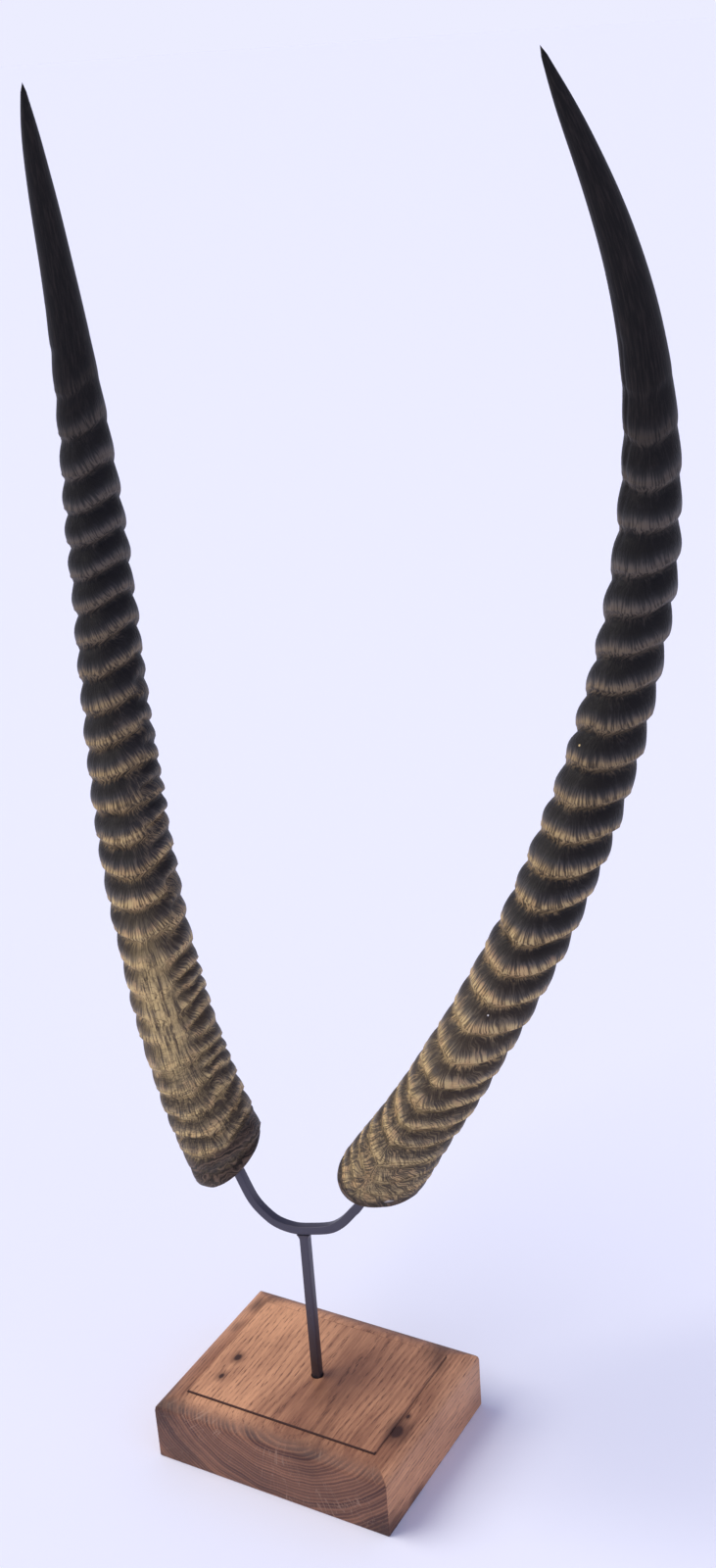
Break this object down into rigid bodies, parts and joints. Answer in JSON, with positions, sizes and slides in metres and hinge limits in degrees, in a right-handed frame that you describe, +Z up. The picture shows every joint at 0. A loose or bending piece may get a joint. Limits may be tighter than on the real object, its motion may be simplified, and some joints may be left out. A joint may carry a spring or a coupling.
{
  "type": "waterbuck horn trophy",
  "caption": "Pair of ringed waterbuck horns on a bent square steel bar, on an upright in an oiled oak block with a bevelled top.",
  "frame": {"origin": "centre of the oak block's underside, on the surface it stands on", "axes": "+Z up, -Y towards the block's front with the end grain, +X to its right, along the block's long side"},
  "size_m": [0.4299, 0.2332, 0.8937],
  "materials": {
    "horn": "dry ringed keratin, satin at the dark tips",
    "oiled_oak": "oiled, satin",
    "blackened_steel": "blackened mill scale, satin"
  },
  "bodies": {
    "root": {"base_block": "oiled_oak", "upright_bar": "blackened_steel", "yoke_bar": "blackened_steel", "horn_left": "horn", "horn_right": "horn"}
  },
  "joints": []
}
